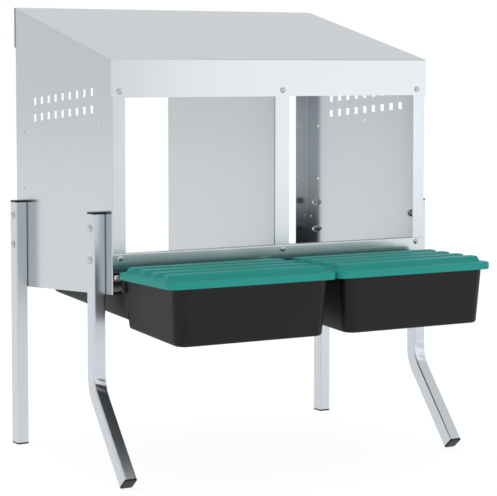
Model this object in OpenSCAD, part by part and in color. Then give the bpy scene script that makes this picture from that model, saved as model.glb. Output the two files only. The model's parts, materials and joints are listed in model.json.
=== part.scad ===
// Two-compartment nesting box for hens on four tube legs.
// A folded sheet-steel box holds two pull-out egg trays, each with a hinged ribbed lid.

/* [Box] */
// Width over the roof
box_width = 600; // [520:10:720]
// Depth from the front face to the back face of the roof
box_depth = 375; // [340:5:460]
// Height of the roof's front edge above the floor
front_height = 661; // [640:1:720]
// Height of the roof's rear edge above the floor
rear_height = 751; // [730:1:820]
// Height of the front fascia
fascia_height = 60; // [40:1:80]
// Height of the roof's rear flange
rear_skirt = 69; // [40:1:90]
// Thickness of the steel sheet
sheet = 1; // [0.8:0.1:1.2]
// Radius of a fold at the middle of the sheet
fold_radius = 1.6; // [1.2:0.1:2.5]
// How far the roof's ends stand out past the side walls
roof_overhang = 1.5; // [1:0.5:4]

/* [Walls] */
// Height of the side walls' lower edge at the front
wall_bottom_front = 293; // [288:1:300]
// Height of the side walls' lower edge at the rear
wall_bottom_rear = 270; // [262:1:276]
// Width of the front posts folded from the side walls
post_width = 23.5; // [18:0.5:26]
// Width of the rear flanges folded from the side walls
rear_flange = 28; // [20:1:32]
// Width of the middle post folded from the partition
middle_post = 27.5; // [22:0.5:30]
// Distance of the partition's left face from the middle, to the left
partition_shift = 2; // [0:0.5:4]
// Width of the ledges that carry the trays
ledge_width = 12; // [8:1:13]

/* [Rails] */
// Height of the front rail's top edge
rail_top = 357; // [350:1:364]
// Height of a rail's face
rail_height = 26; // [20:1:30]
// Depth of a rail's folded top
rail_return = 12; // [8:1:16]

/* [Vents and holes] */
// Number of vents in each row
vent_count = 9; // [3:1:11]
// Length of a vent from front to back
vent_length = 10.5; // [6:0.5:14]
// Height of a vent
vent_height = 12.5; // [8:0.5:16]
// Diameter of the mounting holes in the side walls
hole_diameter = 4.5; // [3:0.5:6]

/* [Legs] */
// Width of a leg tube, across the box
tube_width = 21; // [18:1:25]
// Depth of a leg tube, from front to back
tube_depth = 25; // [20:1:30]
// Wall thickness of the tube
tube_wall = 1.5; // [1:0.1:2]
// Height of the legs over their top caps
leg_height = 421; // [410:1:440]
// Distance of the front legs behind the front face
front_leg_inset = 25; // [22:1:40]
// Distance of the rear legs' front side behind the front face
rear_leg_inset = 329; // [300:1:335]
// Angle by which the lower front legs lean forward
kick_angle = 40; // [30:1:42]
// Reach of the front feet in front of the front face
foot_reach = 64; // [40:1:70]
// Outer radius of the bend in the front legs
bend_radius = 71; // [55:1:80]
// Thickness of the black end caps
cap_thickness = 3; // [2:0.5:5]

/* [Fasteners] */
// Diameter of the screws' heads
screw_head = 9.4; // [7:0.1:10]
// Diameter of the screws' shanks
screw_shank = 4; // [3:0.5:4]
// Diameter of the leg bolts' heads
bolt_head = 12; // [10:0.5:14]
// Diameter of the leg bolts' shanks
bolt_shank = 6; // [5:1:8]

/* [Trays] */
// Distance between the middles of the two trays
tray_pitch = 300; // [300:1:304]
// Width of the egg bin at its bottom
bin_width = 261; // [240:1:262]
// Reach of the egg bin's bottom in front of the front face
bin_reach = 183; // [160:1:186]
// Height of the egg bin's bottom at the front
bin_bottom = 231; // [225:1:235]
// Height of the egg bin's rim
bin_rim = 328.4; // [328:0.1:328.5]
// Slope of the floors, down to the front
floor_slope = 3.6; // [3:0.1:4]
// Spread of the bin's walls, outward for each unit up
bin_draft = 0.063; // [0.03:0.001:0.065]
// Radius of the bin's upright front corners
bin_corner = 18; // [10:1:24]
// Wall thickness of the moulded trays
tray_wall = 2.6; // [2:0.1:3]
// Width of the nest floor
nest_width = 266; // [250:1:266]
// Width of the tray over the rims that slide on the ledges
rim_width = 290; // [284:1:291]
// Depth of the nest floor behind the front face
nest_depth = 258; // [240:1:270]

/* [Lids] */
// Width of a lid
lid_width = 297.5; // [285:0.5:298]
// Reach of the lids in front of the front face
lid_reach = 192; // [189:1:200]
// Distance of a lid's rear edge in front of the front face
lid_back = 22.5; // [20:0.5:26]
// Height of a lid's lower edge
lid_bottom = 319.4; // [318:0.1:321]
// Height of a lid's flat top
lid_top = 331; // [330:0.5:333]
// Number of ribs on each lid
rib_count = 4; // [2:1:5]
// Height of the ribs above a lid's flat top
rib_height = 8; // [4:0.5:9]
// Width of a rib at its foot
rib_width = 29; // [20:1:32]
// Diameter of the hinge rods
rod_diameter = 6.4; // [5:0.2:7]

/* [Hidden] */

$fn = 48;
fold_steps = 5;
hull_fn = 32;
gap = 0.3;
nib = 0.01;

zinc = [0.80, 0.82, 0.84];
bright_zinc = [0.72, 0.76, 0.80];
black = [0.13, 0.13, 0.14];
green = [0.20, 0.55, 0.50];
steel = [0.66, 0.68, 0.70];

screw_dome = 2.6;
bolt_dome = 3.6;
half_width = box_width / 2;
wall_outside = half_width - roof_overhang;
wall_inside = wall_outside - sheet;
y_middle = (box_depth + screw_dome - lid_reach) / 2;
wall_height = rear_height + sheet;
roof_slope = (rear_height - front_height) / box_depth;
ledge_slope = (wall_bottom_front - wall_bottom_rear) / box_depth;
rail_bottom = rail_top - rail_height;
front_sheet = 1.5 * sheet;
rear_sheet = box_depth - 1.5 * sheet;
partition_x = -partition_shift + sheet / 2;
window_left = -wall_outside + post_width;

// Screw places across the box, and their heights on the front and the rear
front_screws = [-285.5, 13, 281.5];
rear_screws = [-284, 13, 284];
fascia_screw_z = front_height - 50;
rail_screw_z = rail_top - 7;
skirt_screw_z = rear_height - 35;
rear_rail_top = wall_bottom_rear + 28;
rear_rail_screw_z = rear_rail_top - rail_height / 2;

// Mounting holes in each side wall: distance behind the front face, and height
hole_places = [[32, 563], [32, 455], [338, 538.5], [338, 440.5], [182, 553.5], [185.5, 333]];
pin_hole = [363, 368];
pin_hole_diameter = 3;
vent_front = [72.5, 609];
vent_rear = [293, 590.8];
vent_row_drop = 27.5;

// Legs
leg_x = wall_outside + tube_width / 2;
front_leg_y = front_leg_inset + tube_depth / 2;
rear_leg_y = rear_leg_inset + tube_depth / 2;
bolt_heights = [leg_height - 25.5, leg_height - 75.5];
kick_corner = (front_leg_inset + tube_depth + foot_reach) / tan(kick_angle);
kick_tangent = bend_radius * tan(kick_angle / 2);
bend_y = front_leg_inset + tube_depth - bend_radius;
bend_z = kick_corner + kick_tangent;
kick_length = kick_corner / cos(kick_angle) - kick_tangent;
tube_corner = 2.5;
bend_skim = 0.15;
bend_lap = 1;
cap_insert = 14;

// Trays and lids
hinge_y = -8;
hinge_z = 321;
rod_length = 296.4;
knuckle_radius = 6.2;
knuckle_bore = rod_diameter / 2 + 0.06;
knuckle_places = [-92, 0, 92];
knuckle_length = 34;
ear_place = 135.5;
ear_width = 4;
ear_radius = 5.2;
ear_drop = 22;
bin_back = -21.5;
bin_back_top = -9;
rim_thickness = 2.5;
rim_front = 4;
rim_rear = box_depth - 2.6;
collar_width = 290.6;
collar_front = lid_reach - 3.4;
collar_thickness = 3;
rim_lip = 9;
nest_floor_front = 254.9;
lid_plate = 2.2;
lid_wall = 2;
lid_corner = 16;
lid_rear_corner = 5;
rib_pitch = 38.5;
first_rib = lid_reach - 21;
rib_end_gap = 9;
rib_edge = 3;

// Geometry helpers
function unit(v) = v / norm(v);
function left_of(v) = [-v.y, v.x];
function last(list) = len(list) - 1;
function reversed(list) = [for (i = [last(list):-1:0]) list[i]];

// Arc of radius r that rounds the corner b between a and c
function corner_arc(a, b, c, r, n) =
    let (
        u = unit(a - b),
        w = unit(c - b),
        half = acos(u * w) / 2,
        centre = b + unit(u + w) * r / sin(half),
        from = b + u * r / tan(half) - centre,
        to = b + w * r / tan(half) - centre,
        start = atan2(from.y, from.x),
        sweep = (atan2(to.y, to.x) - start + 540) % 360 - 180
    )
    [for (i = [0:n]) centre + r * [cos(start + sweep * i / n), sin(start + sweep * i / n)]];

// Middle line of a folded sheet: straight runs joined by arcs
function folded(path, r, n) = [
    path[0],
    for (i = [1:last(path) - 1]) each corner_arc(path[i - 1], path[i], path[i + 1], r, n),
    path[last(path)]
];

// Line parallel to a path, at a distance to its left
function beside(path, distance) = [
    for (i = [0:last(path)])
        let (
            before = unit(path[max(i, 1)] - path[max(i, 1) - 1]),
            after = unit(path[min(i + 1, last(path))] - path[min(i, last(path) - 1)]),
            middle = unit(before + after)
        )
        path[i] + left_of(middle) * distance / (middle * before)
];

// Outline of a sheet folded along a path
function sheet_outline(path) =
    let (line = folded(path, fold_radius, fold_steps))
    concat(beside(line, sheet / 2), reversed(beside(line, -sheet / 2)));

// Outline of a rectangle with rounded corners, one radius for each corner
function rounded_outline(w, d, r_front, r_back, n = 6) = [
    for (c = [[-1, -1, r_front, 180], [1, -1, r_front, 270], [1, 1, r_back, 0], [-1, 1, r_back, 90]])
        for (i = [0:n])
            [c[0] * (w / 2 - c[2]), c[1] * (d / 2 - c[2])]
                + c[2] * [cos(c[3] + 90 * i / n), sin(c[3] + 90 * i / n)]
];

function roof_z(y) = front_height + roof_slope * y;
function ledge_z(y) = wall_bottom_front - ledge_slope * y;
function rim_z(y) = ledge_z(y) + sheet + gap;
function nest_z(y) = nest_floor_front + tan(floor_slope) * y;
function bin_z(y) = bin_bottom + tan(floor_slope) * (y + bin_reach);
function bin_half(z) = bin_width / 2 + bin_draft * (z - bin_bottom);
function bin_front(z) = -bin_reach - bin_draft * (z - bin_bottom);

// Puts the front face where the object's middle lies over the origin
module placed() translate([0, -y_middle, 0]) children();

// Extrudes a side-view outline, drawn as distance back and height, across the box
module across(width) rotate([90, 0, 90]) linear_extrude(width, center = true) children();

// Round bar or hole that runs across the box
module rod_across(x, y, z, d, length)
    translate([x, y, z]) rotate([0, 90, 0]) cylinder(d = d, h = length, center = true);

// Round bar or hole that runs from front to back
module rod_back(x, y, z, d, length)
    translate([x, y, z]) rotate([-90, 0, 0]) cylinder(d = d, h = length, center = true);

// Sloping strip along the lower edge of a wall, from x0 to x1
module ledge(x0, x1) {
    outline = [
        [3, ledge_z(3)], [box_depth - 4, ledge_z(box_depth - 4)],
        [box_depth - 4, ledge_z(box_depth - 4) + sheet], [3, ledge_z(3) + sheet]
    ];
    translate([(x0 + x1) / 2, 0, 0]) across(abs(x1 - x0)) polygon(outline);
}

// Side view of the space that a wall fills, under the sloping roof
module wall_side() {
    top = sheet / cos(atan(roof_slope)) + gap;
    polygon([
        [0, ledge_z(0)], [box_depth, ledge_z(box_depth)],
        [box_depth, roof_z(box_depth) - top - 2], [box_depth - 6, roof_z(box_depth - 6) - top],
        [6, roof_z(6) - top], [0, roof_z(0) - top - 8]
    ]);
}

// Wall with folds at the front and the rear, seen from above along a path
module folded_wall(path, x_middle, ledge_from, ledge_to) {
    intersection() {
        linear_extrude(wall_height) polygon(sheet_outline(path));
        translate([x_middle, 0, 0]) across(4 * middle_post) wall_side();
    }
    ledge(ledge_from, ledge_to);
}

// Clears the folds of a wall where the tray slides out
module tray_doorway(x0, x1) translate([x0, 0, 0]) cube([x1 - x0, 3.2, rail_bottom]);

module screw_holes(places, y, z)
    for (x = places) rod_back(x, y, z, screw_shank + 0.2, 8);

module roof_panel() color(zinc) placed() difference() {
    path = [
        [sheet / 2, front_height - fascia_height],
        [sheet / 2, front_height - sheet / 2],
        [box_depth - sheet / 2, rear_height - sheet / 2],
        [box_depth - sheet / 2, rear_height - rear_skirt]
    ];
    across(box_width) polygon(sheet_outline(path));
    screw_holes(front_screws, 0, fascia_screw_z);
    screw_holes(rear_screws, box_depth, skirt_screw_z);
}

// Left side wall; the right one is its mirror image with its own screw places
module side_wall(screws_front, screws_rear) color(zinc) difference() {
    x = -wall_outside + sheet / 2;
    path = [
        [-wall_outside + post_width, front_sheet], [x, front_sheet],
        [x, rear_sheet], [-wall_outside + rear_flange, rear_sheet]
    ];
    folded_wall(path, x, -wall_inside - nib, -wall_inside + ledge_width);
    tray_doorway(-wall_inside, -wall_inside + post_width);
    wall_vents();
    for (p = hole_places) rod_across(x, p[0], p[1], hole_diameter, 6);
    rod_across(x, pin_hole[0], pin_hole[1], pin_hole_diameter, 6);
    for (y = [front_leg_y, rear_leg_y], z = bolt_heights) rod_across(x, y, z, bolt_shank + 0.2, 6);
    screw_holes([screws_front], front_sheet, fascia_screw_z);
    screw_holes([screws_front], front_sheet, rail_screw_z);
    screw_holes([screws_rear], rear_sheet, skirt_screw_z);
    screw_holes([screws_rear], rear_sheet, rear_rail_screw_z);
}

// Two rows of small vents that climb towards the front
module wall_vents()
    for (i = [0:vent_count - 1], row = [0, 1]) {
        t = i / (vent_count - 1);
        place = vent_front * (1 - t) + vent_rear * t;
        translate([-wall_outside + sheet / 2, place[0], place[1] - row * vent_row_drop])
            cube([6, vent_length, vent_height], center = true);
    }

module left_side_wall() placed() side_wall(front_screws[0], rear_screws[0]);

module right_side_wall()
    placed() mirror([1, 0, 0]) side_wall(-front_screws[2], -rear_screws[2]);

module centre_partition() color(zinc) placed() difference() {
    path = [
        [partition_x + middle_post, front_sheet], [partition_x, front_sheet],
        [partition_x, rear_sheet], [partition_x + rear_flange, rear_sheet]
    ];
    ledge_from = partition_x + sheet / 2 - nib;
    folded_wall(path, partition_x, ledge_from, ledge_from + ledge_width + 3.5);
    tray_doorway(partition_x + sheet / 2, partition_x + middle_post);
    for (z = [fascia_screw_z, rail_screw_z]) screw_holes([front_screws[1]], front_sheet, z);
    for (z = [skirt_screw_z, rear_rail_screw_z]) screw_holes([rear_screws[1]], rear_sheet, z);
    for (y = rivet_places()) rod_across(partition_x, y, rivet_z(y), 3.2, 8);
}

// Face with a folded top that is notched around the posts
module rail(top, screws, screw_z, posts) difference() {
    path = [
        [rail_return, top - sheet / 2], [sheet / 2, top - sheet / 2],
        [sheet / 2, top - rail_height]
    ];
    across(2 * wall_outside) polygon(sheet_outline(path));
    for (p = posts)
        translate([p[0], sheet, top - rail_height - 1])
            cube([p[1] - p[0], rail_return, rail_height + 2]);
    screw_holes(screws, 0, screw_z);
}

module front_rail() color(zinc) placed() {
    posts = [
        [-half_width, window_left + 1],
        [partition_x - 1, partition_x + middle_post + 1],
        [-window_left - 1, half_width]
    ];
    rail(rail_top, front_screws, rail_screw_z, posts);
}

module rear_rail() color(zinc) placed() translate([0, box_depth, 0]) mirror([0, 1, 0]) {
    posts = [
        [-half_width, -wall_outside + rear_flange + 1],
        [partition_x - 1, partition_x + rear_flange + 1],
        [wall_outside - rear_flange - 1, half_width]
    ];
    rail(rear_rail_top, rear_screws, rear_rail_screw_z, posts);
}

function rivet_places() = [60, 300];
function rivet_z(y) = ledge_z(y) + 12;

// Angle on the partition's left face that carries the left tray
module centre_runner() color(zinc) placed() {
    face = partition_x - sheet / 2;
    difference() {
        union() {
            ledge(face - ledge_width, face);
            intersection() {
                translate([face - sheet, 3, 0]) cube([sheet, box_depth - 7, wall_height]);
                across(box_width) polygon([
                    [3, ledge_z(3)], [box_depth - 4, ledge_z(box_depth - 4)],
                    [box_depth - 4, ledge_z(box_depth - 4) + 20], [3, ledge_z(3) + 20]
                ]);
            }
        }
        for (y = rivet_places()) rod_across(face, y, rivet_z(y), 3.2, 8);
    }
}

module runner_rivets() color(steel) placed()
    for (y = rivet_places()) translate([partition_x, y, rivet_z(y)]) rotate([0, 90, 0]) {
        cylinder(d = 3.1, h = 4.2, center = true);
        for (side = [-1, 1])
            translate([0, 0, side * (side < 0 ? 2.1 : 1.1)]) cylinder(d = 6.4, h = 1.2, center = true);
    }

// Cross-section of a leg tube, with its wall thinned by skim on both faces
module tube_profile(width, depth, skim = 0) difference() {
    outer = 2 * skim;
    inner = 2 * tube_wall - 2 * skim;
    polygon(rounded_outline(width - outer, depth - outer, tube_corner, tube_corner, 4));
    polygon(rounded_outline(width - inner, depth - inner, 1, 1, 3));
}

// Holes for the two bolts that hold a leg to the side wall
module leg_bolt_holes(y) for (z = bolt_heights) rod_across(0, y, z, bolt_shank + 0.2, 2 * tube_width);

module rear_leg(side) color(bright_zinc) placed() translate([side * leg_x, 0, 0]) difference() {
    translate([0, rear_leg_y, cap_thickness])
        linear_extrude(leg_height - 2 * cap_thickness) tube_profile(tube_width, tube_depth);
    leg_bolt_holes(rear_leg_y);
}

// Upright tube, a bend whose wall is stretched thinner, and a lower end that leans forward
module front_leg(side) color(bright_zinc) placed() translate([side * leg_x, 0, 0]) difference() {
    union() {
        translate([0, front_leg_y, bend_z - bend_lap])
            linear_extrude(leg_height - cap_thickness - bend_z + bend_lap)
                tube_profile(tube_width, tube_depth);
        translate([0, bend_y, bend_z]) {
            rotate([-90, 0, 90]) rotate_extrude(angle = kick_angle, $fn = 96)
                translate([bend_radius - tube_depth / 2, 0])
                    tube_profile(tube_depth, tube_width, bend_skim);
            rotate([-kick_angle, 0, 0])
                translate([0, bend_radius - tube_depth / 2, cap_thickness - kick_length])
                    linear_extrude(kick_length - cap_thickness + bend_lap)
                        tube_profile(tube_width, tube_depth);
        }
    }
    leg_bolt_holes(front_leg_y);
}

// Black plug with its flange on the underside of z = 0 and its insert above
module end_plug() color(black) {
    translate([0, 0, -cap_thickness]) linear_extrude(cap_thickness)
        polygon(rounded_outline(tube_width, tube_depth, tube_corner, tube_corner, 4));
    inner = 2 * tube_wall + 0.3;
    translate([0, 0, -nib]) linear_extrude(cap_insert)
        polygon(rounded_outline(tube_width - inner, tube_depth - inner, 1, 1, 3));
}

module top_cap(side, y) placed()
    translate([side * leg_x, y, leg_height - cap_thickness]) mirror([0, 0, 1]) end_plug();

module rear_foot(side) placed() translate([side * leg_x, rear_leg_y, cap_thickness]) end_plug();

module front_foot(side) placed()
    translate([side * leg_x, bend_y, bend_z]) rotate([-kick_angle, 0, 0])
        translate([0, bend_radius - tube_depth / 2, cap_thickness - kick_length]) end_plug();

module left_rear_leg() rear_leg(-1);
module right_rear_leg() rear_leg(1);
module left_front_leg() front_leg(-1);
module right_front_leg() front_leg(1);
module left_rear_top_cap() top_cap(-1, rear_leg_y);
module right_rear_top_cap() top_cap(1, rear_leg_y);
module left_front_top_cap() top_cap(-1, front_leg_y);
module right_front_top_cap() top_cap(1, front_leg_y);
module left_rear_foot() rear_foot(-1);
module right_rear_foot() rear_foot(1);
module left_front_foot() front_foot(-1);
module right_front_foot() front_foot(1);

// Half outline of a domed head of a given radius and height
function dome(r, h, n = 8) = [
    [0, 0], [r, 0], for (i = [0:n]) [r * cos(90 * i / n), 0.6 + (h - 0.6) * sin(90 * i / n)]
];

// Screw with a domed cross-recess head that stands on z = 0 and a shank below it
module screw() difference() {
    union() {
        rotate_extrude() polygon(dome(screw_head / 2, screw_dome));
        translate([0, 0, -9]) cylinder(d = screw_shank, h = 9 + nib);
    }
    for (a = [0, 90]) rotate(a)
        translate([0, 0, screw_dome]) cube([4.6, 1, 2.4], center = true);
}

// Row of screws driven in from the front, or from the rear
module screws_from_front(places, z) color(steel) placed()
    for (x = places) translate([x, 0, z]) rotate([90, 0, 0]) screw();

module screws_from_rear(places, z) color(steel) placed()
    for (x = places) translate([x, box_depth, z]) rotate([-90, 0, 0]) screw();

module fascia_screws() screws_from_front(front_screws, fascia_screw_z);
module front_rail_screws() screws_from_front(front_screws, rail_screw_z);
module rear_skirt_screws() screws_from_rear(rear_screws, skirt_screw_z);
module rear_rail_screws() screws_from_rear(rear_screws, rear_rail_screw_z);

// Repeats its children at the eight bolt places, each with +Z pointing out of the box
module at_leg_bolts()
    for (side = [-1, 1], y = [front_leg_y, rear_leg_y], z = bolt_heights)
        translate([side * (wall_outside + tube_width), y, z]) rotate([0, side * 90, 0]) children();

module leg_bolts() color(steel) placed() at_leg_bolts() {
    rotate_extrude() polygon(dome(bolt_head / 2, bolt_dome));
    length = tube_width + sheet + 9;
    translate([0, 0, -length]) cylinder(d = bolt_shank, h = length + nib);
}

// Flanged hexagon nuts against the inside of the side walls
module leg_nuts() color(steel) placed() at_leg_bolts()
    translate([0, 0, -tube_width - sheet]) mirror([0, 0, 1]) difference() {
        union() {
            cylinder(d = 13, h = 1.4);
            cylinder(d = 11, h = 6, $fn = 6);
        }
        translate([0, 0, -1]) cylinder(d = bolt_shank + 0.1, h = 8);
    }

// Solid of the egg bin: inset shrinks it to the space inside its walls
module bin_solid(inset) hull() {
    back = bin_back - (inset > 0 ? -1 : 0);
    for (z = [bin_bottom + inset, bin_rim + inset * 4], side = [-1, 1]) {
        r = bin_corner - inset;
        x = side * (bin_half(z) - inset - r);
        translate([x, bin_front(z) + inset + r, z]) cylinder(r = r, h = nib, $fn = hull_fn);
    }
    for (side = [-1, 1]) {
        z = bin_z(back) + inset;
        translate([side * (bin_half(z) - inset) - (side + 1) / 2, back - 1, z]) cube([1, 1, nib]);
        x = side * (bin_half(bin_rim) - inset) - (side + 1) / 2;
        translate([x, bin_back_top - 1, bin_rim - nib + inset * 4]) cube([1, 1, nib]);
    }
}

// Side view of the nest floor's trough
module trough_side(inset, front) polygon([
    [front, nest_z(front) + inset],
    [nest_depth - 10, nest_z(nest_depth - 10) + inset],
    [nest_depth - inset, nest_z(nest_depth) + 4 + inset],
    [nest_depth - inset, rim_z(nest_depth) + 1 + 2 * inset],
    [front, rim_z(front) + 1 + 2 * inset]
]);

// Side view of the rim that slides on the ledges, with its rear lip
module rim_side(rear_lip) polygon([
    [rim_front, rim_z(rim_front)], [rim_rear, rim_z(rim_rear)],
    [rim_rear, rim_z(rim_rear) + rear_lip], [rim_rear - tray_wall, rim_z(rim_rear) + rear_lip],
    [rim_rear - tray_wall, rim_z(rim_rear - tray_wall) + rim_thickness],
    [rim_front, rim_z(rim_front) + rim_thickness]
]);

// Ears at the back of the bin that hold the hinge rod
module rod_ears() for (side = [-1, 1])
    translate([side * ear_place, 0, 0]) across(ear_width) {
        translate([hinge_y, hinge_z]) circle(r = ear_radius);
        translate([bin_back, hinge_z - ear_drop]) polygon([
            [0, 0], [-bin_back + hinge_y + 1, ear_drop - ear_radius + 0.5],
            [-bin_back + hinge_y, ear_drop + ear_radius], [0, ear_drop + ear_radius]
        ]);
    }

// Flat collar around the bin's rim, inside the lid's skirt
module bin_collar() {
    depth = collar_front + bin_back;
    translate([0, -(collar_front - bin_back) / 2, bin_rim - collar_thickness])
        linear_extrude(collar_thickness)
            polygon(rounded_outline(collar_width, depth, lid_corner - 3, lid_rear_corner));
}

// Opening in the walls between the nest floor and the bin, where eggs roll through
module egg_way() across(nest_width - 2 * tray_wall) polygon([
    [bin_back - 6, nest_z(bin_back - 6) + tray_wall], [2, nest_z(2) + tray_wall],
    [2, bin_rim + 20], [bin_back - 6, bin_rim + 20]
]);

// Moulded tray: nest floor under the box and egg bin in front of it
module tray() color(black) {
    difference() {
        union() {
            bin_solid(0);
            bin_collar();
            rod_ears();
            across(nest_width) trough_side(0, bin_back - 4);
            across(rim_width) rim_side(rim_lip);
        }
        bin_solid(tray_wall);
        across(nest_width - 2 * tray_wall) trough_side(tray_wall, bin_back - 4);
        egg_way();
        rod_across(0, hinge_y, hinge_z, rod_diameter + 0.1, box_width / 2);
    }
}

module left_tray() placed() translate([-tray_pitch / 2, 0, 0]) tray();
module right_tray() placed() translate([tray_pitch / 2, 0, 0]) tray();

module hinge_rod(x) color(steel) placed()
    rod_across(x, hinge_y, hinge_z, rod_diameter, rod_length);

module left_hinge_rod() hinge_rod(-tray_pitch / 2);
module right_hinge_rod() hinge_rod(tray_pitch / 2);

// Rounded plate of the lid's outline, shrunk by an inset
module lid_outline(inset) {
    depth = lid_reach - lid_back;
    translate([0, -(lid_reach + lid_back) / 2]) polygon(rounded_outline(
        lid_width - 2 * inset, depth - 2 * inset, lid_corner - inset, lid_rear_corner - inset));
}

// Broad rib with a chamfered top that runs across the lid
module lid_rib(y) translate([0, y + rib_width / 2, lid_top - nib]) {
    length = lid_width - 2 * rib_end_gap;
    linear_extrude(rib_height - rib_edge) polygon(rounded_outline(length, rib_width, 6, 6));
    linear_extrude(rib_height)
        polygon(rounded_outline(length - 2 * rib_edge, rib_width - 2 * rib_edge, 5, 5));
}

// Barrels that turn on the hinge rod, with webs up to the lid's plate
module lid_knuckles() for (x = knuckle_places) difference() {
    union() {
        rod_across(x, hinge_y, hinge_z, 2 * knuckle_radius, knuckle_length);
        translate([x, 0, 0]) across(knuckle_length) polygon([
            [-lid_back - 2, lid_top - lid_plate], [-lid_back - 2, lid_top],
            [hinge_y - 2, hinge_z + 5.6], [hinge_y - 5, hinge_z + 1]
        ]);
    }
    rod_across(x, hinge_y, hinge_z, 2 * knuckle_bore, 2 * knuckle_length);
}

module lid() color(green) {
    difference() {
        translate([0, 0, lid_bottom]) linear_extrude(lid_top - lid_bottom) lid_outline(0);
        translate([0, 0, lid_bottom - 1])
            linear_extrude(lid_top - lid_plate - lid_bottom + 1) lid_outline(lid_wall);
        translate([-rim_width / 2, -lid_back - 5, lid_bottom - 1])
            cube([rim_width, 10, lid_top - lid_plate - lid_bottom + 1]);
    }
    for (i = [0:rib_count - 1]) lid_rib(-first_rib + i * rib_pitch);
    lid_knuckles();
}

module left_lid() placed() translate([-tray_pitch / 2, 0, 0]) lid();
module right_lid() placed() translate([tray_pitch / 2, 0, 0]) lid();

roof_panel();
left_side_wall();
right_side_wall();
centre_partition();
front_rail();
rear_rail();
centre_runner();
left_rear_leg();
right_rear_leg();
left_front_leg();
right_front_leg();
left_rear_top_cap();
right_rear_top_cap();
left_front_top_cap();
right_front_top_cap();
left_rear_foot();
right_rear_foot();
left_front_foot();
right_front_foot();
fascia_screws();
front_rail_screws();
rear_skirt_screws();
rear_rail_screws();
leg_bolts();
leg_nuts();
runner_rivets();
left_tray();
right_tray();
left_hinge_rod();
right_hinge_rod();
left_lid();
right_lid();
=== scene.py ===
"""Visual model of a two-compartment nesting box for hens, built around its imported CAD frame.

The folded sheet parts, screws, bolts, nuts, rivets and hinge rods keep their CAD shapes and get
finishes here. The bent legs, their caps, the moulded egg trays and the ribbed lids are new
surfaces, worked out from grids and from profiles carried along a path.

Lengths in the sub-assembly classes are millimetres. Depths count back from the front face of the
roof, heights count up from the floor, and Layout turns both into metres in the frame.
"""

from __future__ import annotations

import json
import logging
import math
from dataclasses import dataclass
from enum import Enum
from typing import Sequence

import bmesh
import bpy
import numpy as np
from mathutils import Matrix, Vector

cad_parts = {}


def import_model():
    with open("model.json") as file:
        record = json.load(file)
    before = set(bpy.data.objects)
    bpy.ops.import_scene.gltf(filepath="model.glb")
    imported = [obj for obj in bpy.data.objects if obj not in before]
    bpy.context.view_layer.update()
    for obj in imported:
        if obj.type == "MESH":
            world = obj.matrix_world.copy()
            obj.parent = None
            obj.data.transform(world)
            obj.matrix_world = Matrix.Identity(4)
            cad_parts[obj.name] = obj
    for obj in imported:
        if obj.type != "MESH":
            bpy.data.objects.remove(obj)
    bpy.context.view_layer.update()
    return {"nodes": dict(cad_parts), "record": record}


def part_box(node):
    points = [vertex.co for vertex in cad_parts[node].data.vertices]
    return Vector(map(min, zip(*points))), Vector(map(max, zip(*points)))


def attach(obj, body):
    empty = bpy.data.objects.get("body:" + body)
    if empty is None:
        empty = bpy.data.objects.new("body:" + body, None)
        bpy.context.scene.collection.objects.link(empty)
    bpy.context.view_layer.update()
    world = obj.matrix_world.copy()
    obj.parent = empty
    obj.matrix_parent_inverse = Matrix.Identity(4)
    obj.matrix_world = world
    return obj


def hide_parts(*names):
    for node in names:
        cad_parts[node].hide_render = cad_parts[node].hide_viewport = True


LOG = logging.getLogger("nesting_box")
MM = 0.001
ROOT_BODY = "nest_frame"
QUARTER_TURN = math.pi / 2
WHITE = (1.0, 1.0, 1.0, 1.0)
LEAST_RADIUS = 1e-4  # keeps the angle of a square corner defined

# A shell is its points, its four-sided faces, and its end faces with any number of sides.
Shell = tuple[np.ndarray, np.ndarray, list]


class Side(Enum):
    """The two sides of the box, seen from the front."""

    LEFT = "left"
    RIGHT = "right"


# ---------------------------------------------------------------- shapes


def smooth_step(t: np.ndarray) -> np.ndarray:
    """Rise from 0 to 1 as t goes from 0 to 1, level at both ends: 3 t squared less 2 t cubed."""
    t = np.clip(t, 0.0, 1.0)
    return t * t * (3.0 - 2.0 * t)


def grid_faces(rows: int, columns: int, wrap: bool = False) -> np.ndarray:
    """List the quads of a grid of points.

    Args:
        rows: Number of points along the first direction.
        columns: Number of points along the second direction.
        wrap: Whether the last column joins the first one.

    Returns:
        Four point numbers for each quad.
    """
    last = columns if wrap else columns - 1
    i, j = np.meshgrid(np.arange(rows - 1), np.arange(last), indexing="ij")
    k = (j + 1) % columns
    low, high = i * columns, (i + 1) * columns
    return np.stack([low + j, high + j, high + k, low + k], -1).reshape(-1, 4)


def ring_stack(rings: np.ndarray) -> Shell:
    """Skin a row of closed rings and close both ends with flat faces.

    Args:
        rings: Points as (ring, point, axis).

    Returns:
        A closed shell.
    """
    count, points = rings.shape[:2]
    first = np.arange(points)
    ends = [first, first + (count - 1) * points]
    return rings.reshape(-1, 3), grid_faces(count, points, wrap=True), ends


def rounded_ring(width: float, depth: float, radius: float, steps: int = 6) -> np.ndarray:
    """Trace a rounded rectangle as four quarter circles joined by straight sides.

    Args:
        width: Size along the first axis.
        depth: Size along the second axis.
        radius: Radius of the corners.
        steps: Number of steps in each quarter circle.

    Returns:
        Points as (point, axis), anticlockwise.
    """
    turn = np.linspace(0.0, QUARTER_TURN, steps + 1)
    start = np.repeat(np.arange(4) * math.pi / 2, steps + 1)
    angle = start + np.tile(turn, 4)
    sign_x = np.sign(np.cos(start + math.pi / 4))
    sign_y = np.sign(np.sin(start + math.pi / 4))
    x = sign_x * (width / 2 - radius) + radius * np.cos(angle)
    y = sign_y * (depth / 2 - radius) + radius * np.sin(angle)
    return np.stack([x, y], -1)


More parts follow.
